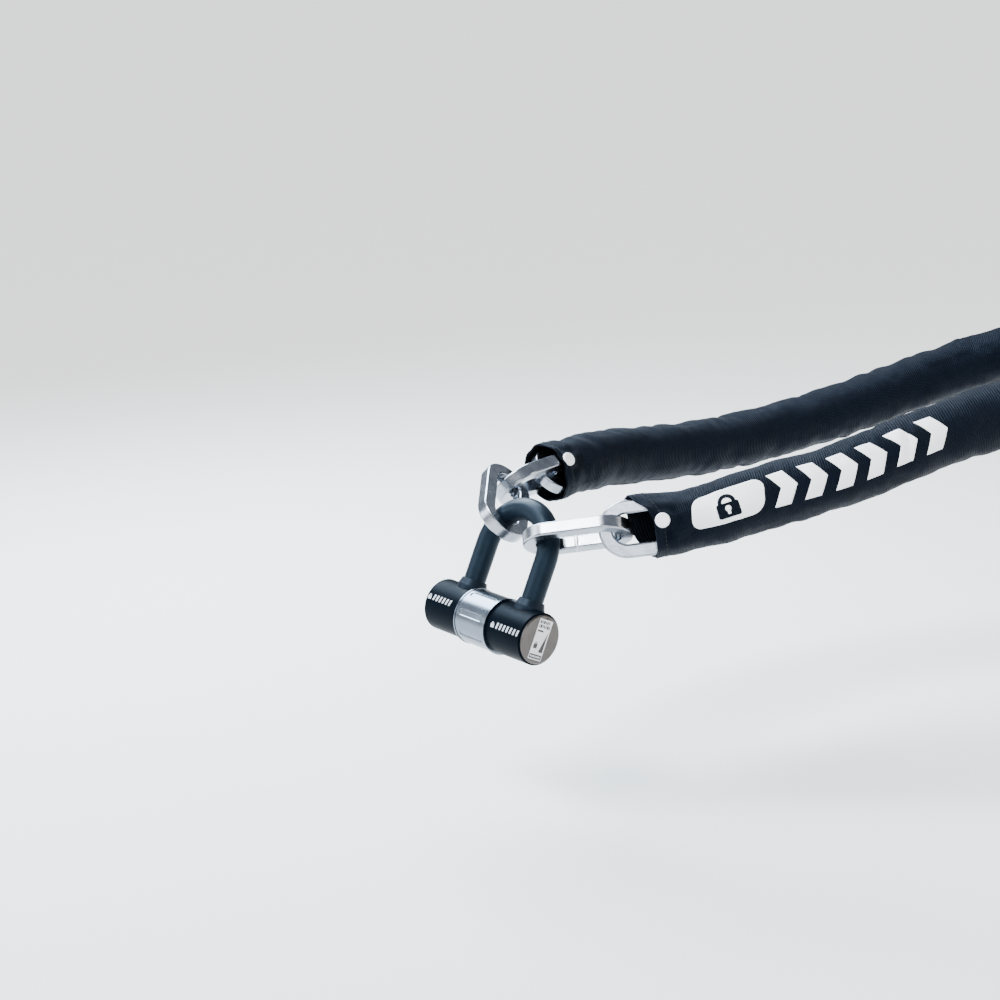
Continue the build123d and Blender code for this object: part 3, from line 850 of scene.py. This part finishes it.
def pad_marks(x, y, count):
    """A closed padlock and slanting dashes, as tall as small lettering, starting at x."""
    out = [rounded(x, y - 2.1, x + 3.4, y + 0.5, 0.35)] + half_ring(x + 1.7, y + 0.4, 0.75, 1.35, 12)
    for k in range(count):
        at = x + 5.2 + 3.5 * k
        out.append([(at, y - 2.1), (at + 1.7, y - 2.1), (at + 2.6, y + 2.1), (at + 0.9, y + 2.1)])
    return out


for side, x, y, dashes in (("left", -49.5, 3.4, 6), ("right", 21.0, 0.2, 7)):
    shapes = pad_marks(x, y, dashes)
    plate(f"pad_marks_{side}", shapes, on_bar, INK_THICK, pad_ink, 0.6, smooth=True)

# ---------------------------------------------------------------- weld beads on the end links
BAR = 9.5
BAR_OUT = 15.0  # from a link's middle to the middle of its straight bar
BEAD_WIDE, BEAD_HIGH, BEAD_SUNK = 3.6, 0.50, 0.25
BEAD_AROUND, BEAD_ROWS = 64, 11


def weld_bead(name, origin, long, normal, shift, body):
    """A low uneven ring where the link's bar was butt welded; origin is the link's middle."""
    long, normal = Vector(long).normalized(), Vector(normal).normalized()
    across = normal.cross(long)
    centre = Vector(origin) + across * BAR_OUT + long * shift
    points, faces = [], []
    for i in range(BEAD_ROWS):
        x = (i / (BEAD_ROWS - 1) - 0.5) * BEAD_WIDE
        for k in range(BEAD_AROUND):
            t = 2 * math.pi * k / BEAD_AROUND
            c, d = math.cos(t), math.sin(t)
            square = 1 / (abs(c) ** 7 + abs(d) ** 7) ** (1 / 7)
            wave = noise.noise((c * 2.0, d * 2.0, i * 0.7)) + 0.5 * noise.noise((c * 6.0, d * 6.0, i * 1.4))
            high = BEAD_HIGH * math.cos(math.pi * x / 4.2) ** 2 - 0.14 + 0.14 * wave
            if i in (0, BEAD_ROWS - 1):
                high = -BEAD_SUNK
            r = (BAR / 2) * square + high
            drift = 0.22 * noise.noise((c * 1.5, d * 1.5, 9.0))
            points.append((centre + long * (x + drift) + across * (r * c) + normal * (r * d)) / 1000)
    for i in range(BEAD_ROWS - 1):
        for k in range(BEAD_AROUND):
            a, b = i * BEAD_AROUND + k, i * BEAD_AROUND + (k + 1) % BEAD_AROUND
            faces.append((a, b, b + BEAD_AROUND, a + BEAD_AROUND))
    faces.append(list(range(BEAD_AROUND))[::-1])
    faces.append(list(range((BEAD_ROWS - 1) * BEAD_AROUND, BEAD_ROWS * BEAD_AROUND)))
    obj = new_piece(name, points, faces, weld)
    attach(obj, body)


# millimetres, from the CAD build: each long link's middle, its long way and the way its flat side faces
weld_bead(
    "weld_a1", (-144.1, -437.4, -113.3), (0.742, 0.647, 0.175), (-0.5, 0.361, 0.787), -3.0, "end_link_a",
)
weld_bead(
    "weld_b1", (-223.9, -435.7, -106.7), (-0.692, 0.646, 0.321), (-0.629, -0.324, -0.707), 2.0, "end_link_b",
)

# ---------------------------------------------------------------- floor and light
FLOOR_Z, FLOOR_R = -0.315, 40
corners = [(x * FLOOR_R, y * FLOOR_R, 0) for x, y in ((-1, -1), (1, -1), (1, 1), (-1, 1))]
floor_mesh = bpy.data.meshes.new("floor")
floor_mesh.from_pydata(corners, [], [(0, 1, 2, 3)])
floor = bpy.data.objects.new("floor", floor_mesh)
floor.location.z = FLOOR_Z
bpy.context.scene.collection.objects.link(floor)
ground = Nodes("floor").finish(Base_Color=(0.80, 0.80, 0.79, 1), Roughness=0.9, Specular_IOR_Level=0.1)
floor_mesh.materials.append(ground)

world = bpy.data.worlds.new("studio")
bpy.context.scene.world = world
world.use_nodes = True
world.node_tree.nodes["Background"].inputs["Color"].default_value = (0.84, 0.90, 1.0, 1)
world.node_tree.nodes["Background"].inputs["Strength"].default_value = 0.42


def area_light(name, at, size, watts, colour):
    """A rectangle of light that looks at the middle of the object."""
    data = bpy.data.lights.new(name, "AREA")
    data.shape = "RECTANGLE"
    data.size, data.size_y = size
    data.energy = watts
    data.color = colour
    obj = bpy.data.objects.new(name, data)
    bpy.context.scene.collection.objects.link(obj)
    obj.location = at
    obj.rotation_mode = "QUATERNION"
    obj.rotation_quaternion = (MIDDLE - Vector(at)).to_track_quat("-Z", "Y")


MIDDLE = Vector((-0.12, -0.40, -0.12))
sun = bpy.data.objects.new("soft_sun", bpy.data.lights.new("soft_sun", "SUN"))
bpy.context.scene.collection.objects.link(sun)
sun.data.energy = 6.6
sun.data.angle = math.radians(28)
sun.rotation_mode = "QUATERNION"
sun.rotation_quaternion = Vector((0.10, 0.62, -0.95)).to_track_quat("-Z", "Y")
area_light("upper_left", (-1.00, -0.30, 0.66), (0.9, 0.55), 48, (0.72, 0.86, 1.0))
area_light("front", (1.24, -1.59, 0.52), (0.9, 0.5), 12, (0.92, 0.96, 1.0))
area_light("left", (-0.75, -1.25, 0.35), (0.35, 0.9), 8, (0.90, 0.95, 1.0))
area_light("right", (0.75, 0.35, 0.25), (0.4, 0.8), 7, (1.0, 0.90, 0.80))
